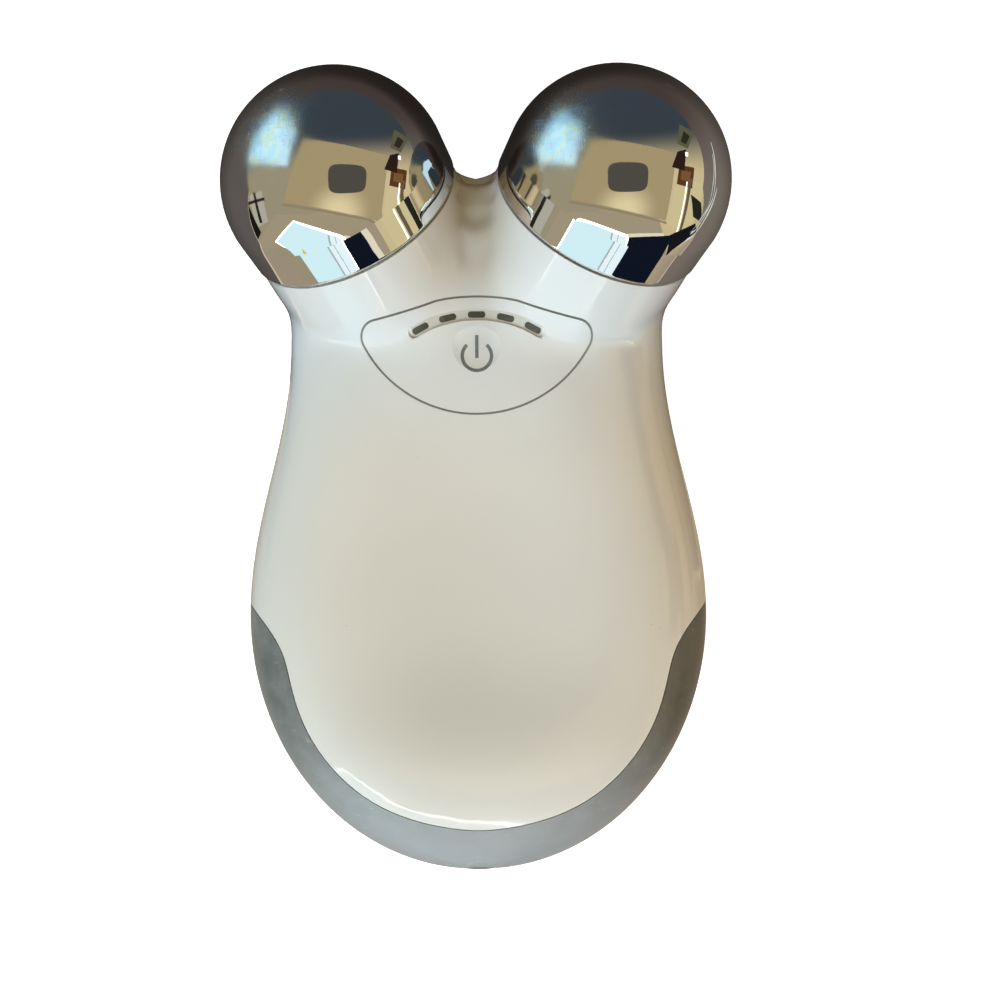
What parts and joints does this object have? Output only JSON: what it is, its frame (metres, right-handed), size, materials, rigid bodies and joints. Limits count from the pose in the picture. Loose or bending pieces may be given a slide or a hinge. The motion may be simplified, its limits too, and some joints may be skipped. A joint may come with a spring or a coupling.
{
  "type": "facial toning device",
  "caption": "Palm-sized handheld with two chrome ball electrodes, one press panel with an arc of status windows, and a soft grey grip band round the tail.",
  "frame": {"origin": "centre of the bounding box's bottom, on the surface that the back rests on", "axes": "+Z out of the front, towards the controls; +Y along the body, towards the two balls; +X to the right when the controls are seen with the balls up"},
  "size_m": [0.06, 0.096, 0.0365],
  "materials": {
    "warm_white_gloss": "glossy injection-moulded ABS, slightly warm",
    "grey_soft_touch": "soft-touch coated grip, satin, a little mottled",
    "polished_chrome": "mirror-polished chrome plate with fine handling scratches",
    "smoke_window": "smoke-tinted light pipe, glossy",
    "black_nylon": "moulded glass-filled nylon",
    "natural_acetal": "plain moulded acetal",
    "silicone": "soft grey silicone",
    "screw_steel": "zinc-plated steel",
    "board_green": "glass-epoxy laminate with solder mask",
    "cell_foil": "aluminium laminate and can sleeves",
    "foam_tape": "adhesive foam tape",
    "wire_red": "silicone wire insulation",
    "contact_brass": "nickel-flashed brass",
    "ferrite": "ferrite drum core",
    "led_lens": "clear-cast light emitting diode"
  },
  "bodies": {
    "housing": {"battery_cell": "cell_foil", "battery_leads": "wire_red", "battery_pad": "foam_tape", "battery_plug": "natural_acetal", "board_screws": "screw_steel", "buzzer": "black_nylon", "capacitors": "cell_foil", "charge_jack": "black_nylon", "circuit_board": "board_green", "front_shell": "warm_white_gloss", "grip_band": "grey_soft_touch", "housing_screws": "screw_steel", "jack_leads": "wire_red", "jack_pin": "contact_brass", "left_ball": "polished_chrome", "left_ball_lead": "wire_red", "left_ball_screw": "screw_steel", "left_ball_seal": "silicone", "left_ball_seat": "black_nylon", "left_ball_tag": "contact_brass", "light_shade": "black_nylon", "microcontroller": "black_nylon", "panel_gasket": "silicone", "rear_shell": "warm_white_gloss", "right_ball": "polished_chrome", "right_ball_lead": "wire_red", "right_ball_screw": "screw_steel", "right_ball_seal": "silicone", "right_ball_seat": "black_nylon", "right_ball_tag": "contact_brass", "status_leds": "led_lens", "step_up_coil": "ferrite", "tact_switch": "black_nylon"},
    "panel": {"control_panel": "warm_white_gloss", "light_guide": "smoke_window"},
    "plunger": {"switch_plunger": "natural_acetal"}
  },
  "joints": [
    {"name": "panel_press", "type": "slide", "parent": "housing", "child": "panel", "axis": [0, 0, -1], "range_m": [0, 0.0004], "stiffness_N_per_m": 2500},
    {"name": "plunger_press", "type": "slide", "parent": "housing", "child": "plunger", "axis": [0, 0, -1], "range_m": [0, 0.0004]}
  ],
  "couplings": [
    {"joint": "plunger_press", "follows": "panel_press", "ratio": 1}
  ]
}
